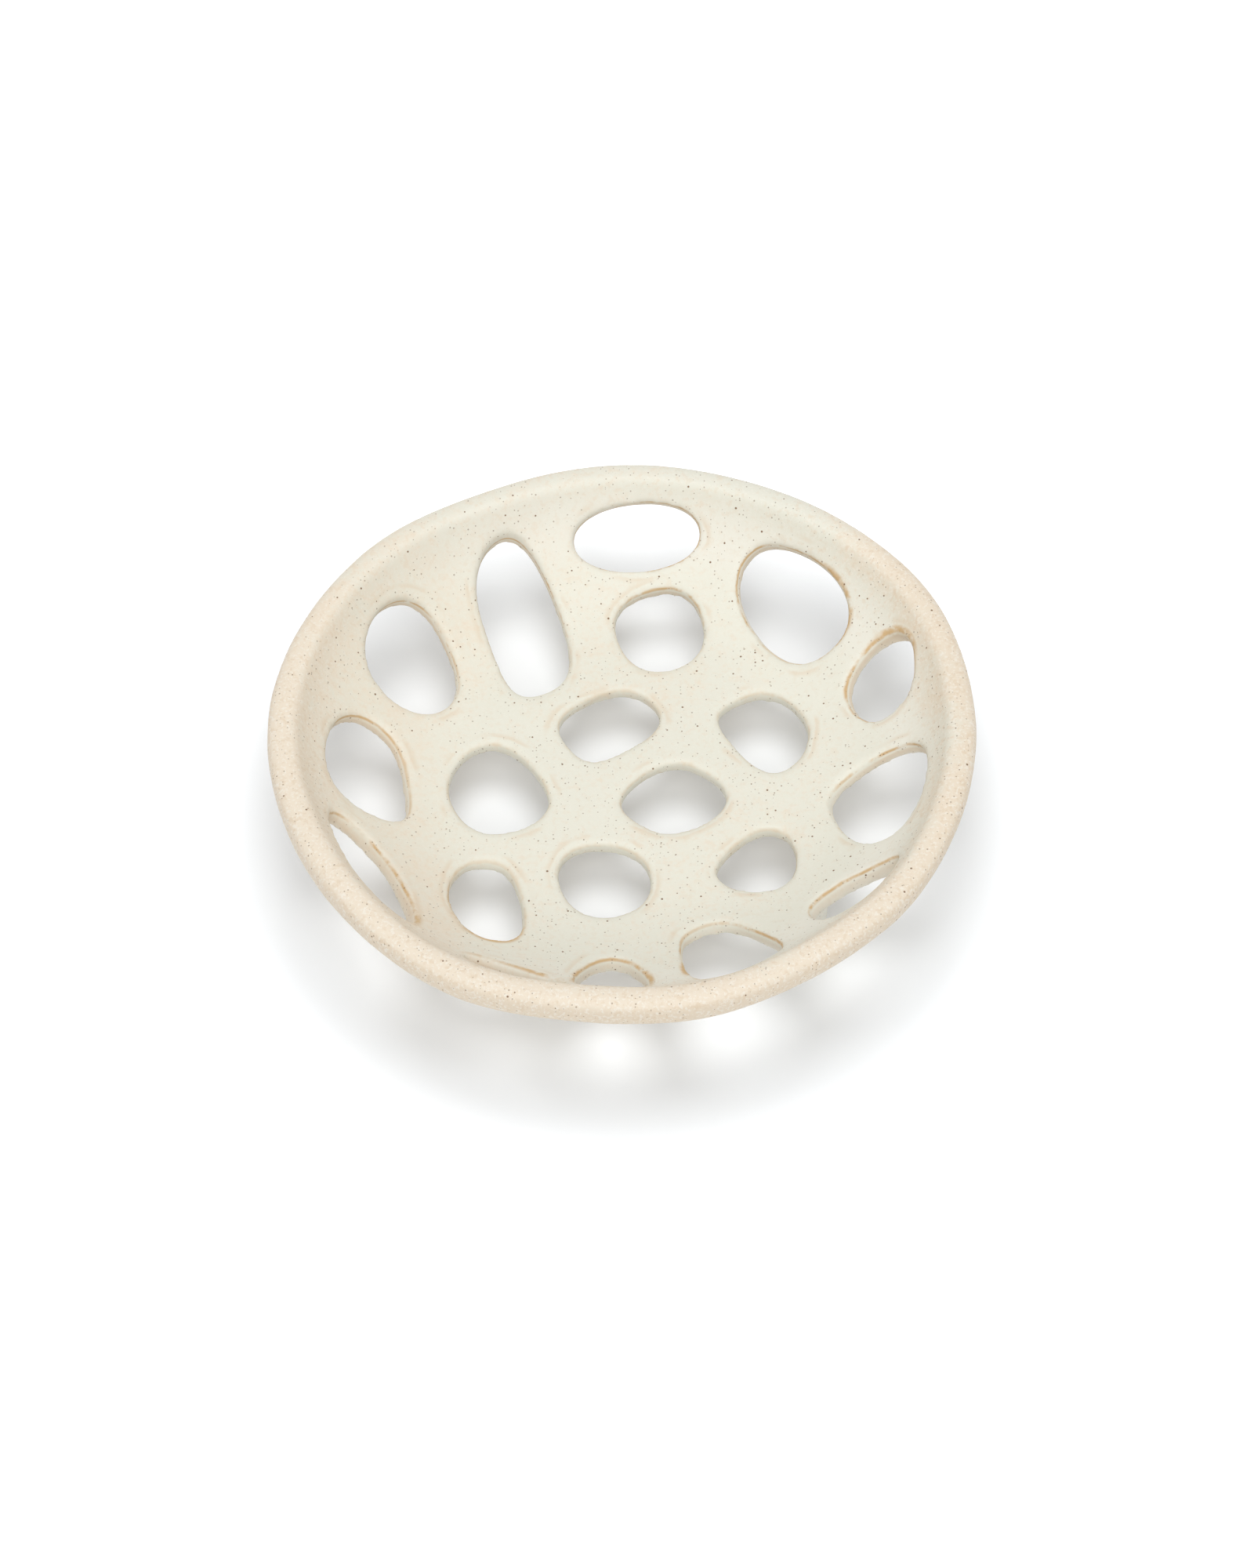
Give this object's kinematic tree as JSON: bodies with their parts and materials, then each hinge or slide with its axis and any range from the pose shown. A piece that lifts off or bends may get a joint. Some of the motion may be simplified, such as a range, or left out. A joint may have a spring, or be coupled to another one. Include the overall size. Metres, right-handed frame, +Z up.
{
  "type": "pierced bowl",
  "caption": "Shallow round stoneware bowl with a thick rolled rim, wall and floor pierced by hand-cut oval holes, standing on small peg feet.",
  "frame": {"origin": "on the table under the middle of the bowl", "axes": "+Z up along the bowl's axis, -Y towards the viewer of the picture, +X to the viewer's right"},
  "size_m": [0.25, 0.25, 0.056],
  "materials": {
    "glaze_inside": "satin speckled glaze",
    "glaze_rim": "satin glaze worn thin to a warm beige",
    "glaze_foot": "thin satin glaze"
  },
  "bodies": {
    "root": {"bowl_wall": "glaze_inside", "rim_coil": "glaze_rim", "foot_back": "glaze_foot", "foot_left": "glaze_foot", "foot_right": "glaze_foot"}
  },
  "joints": []
}
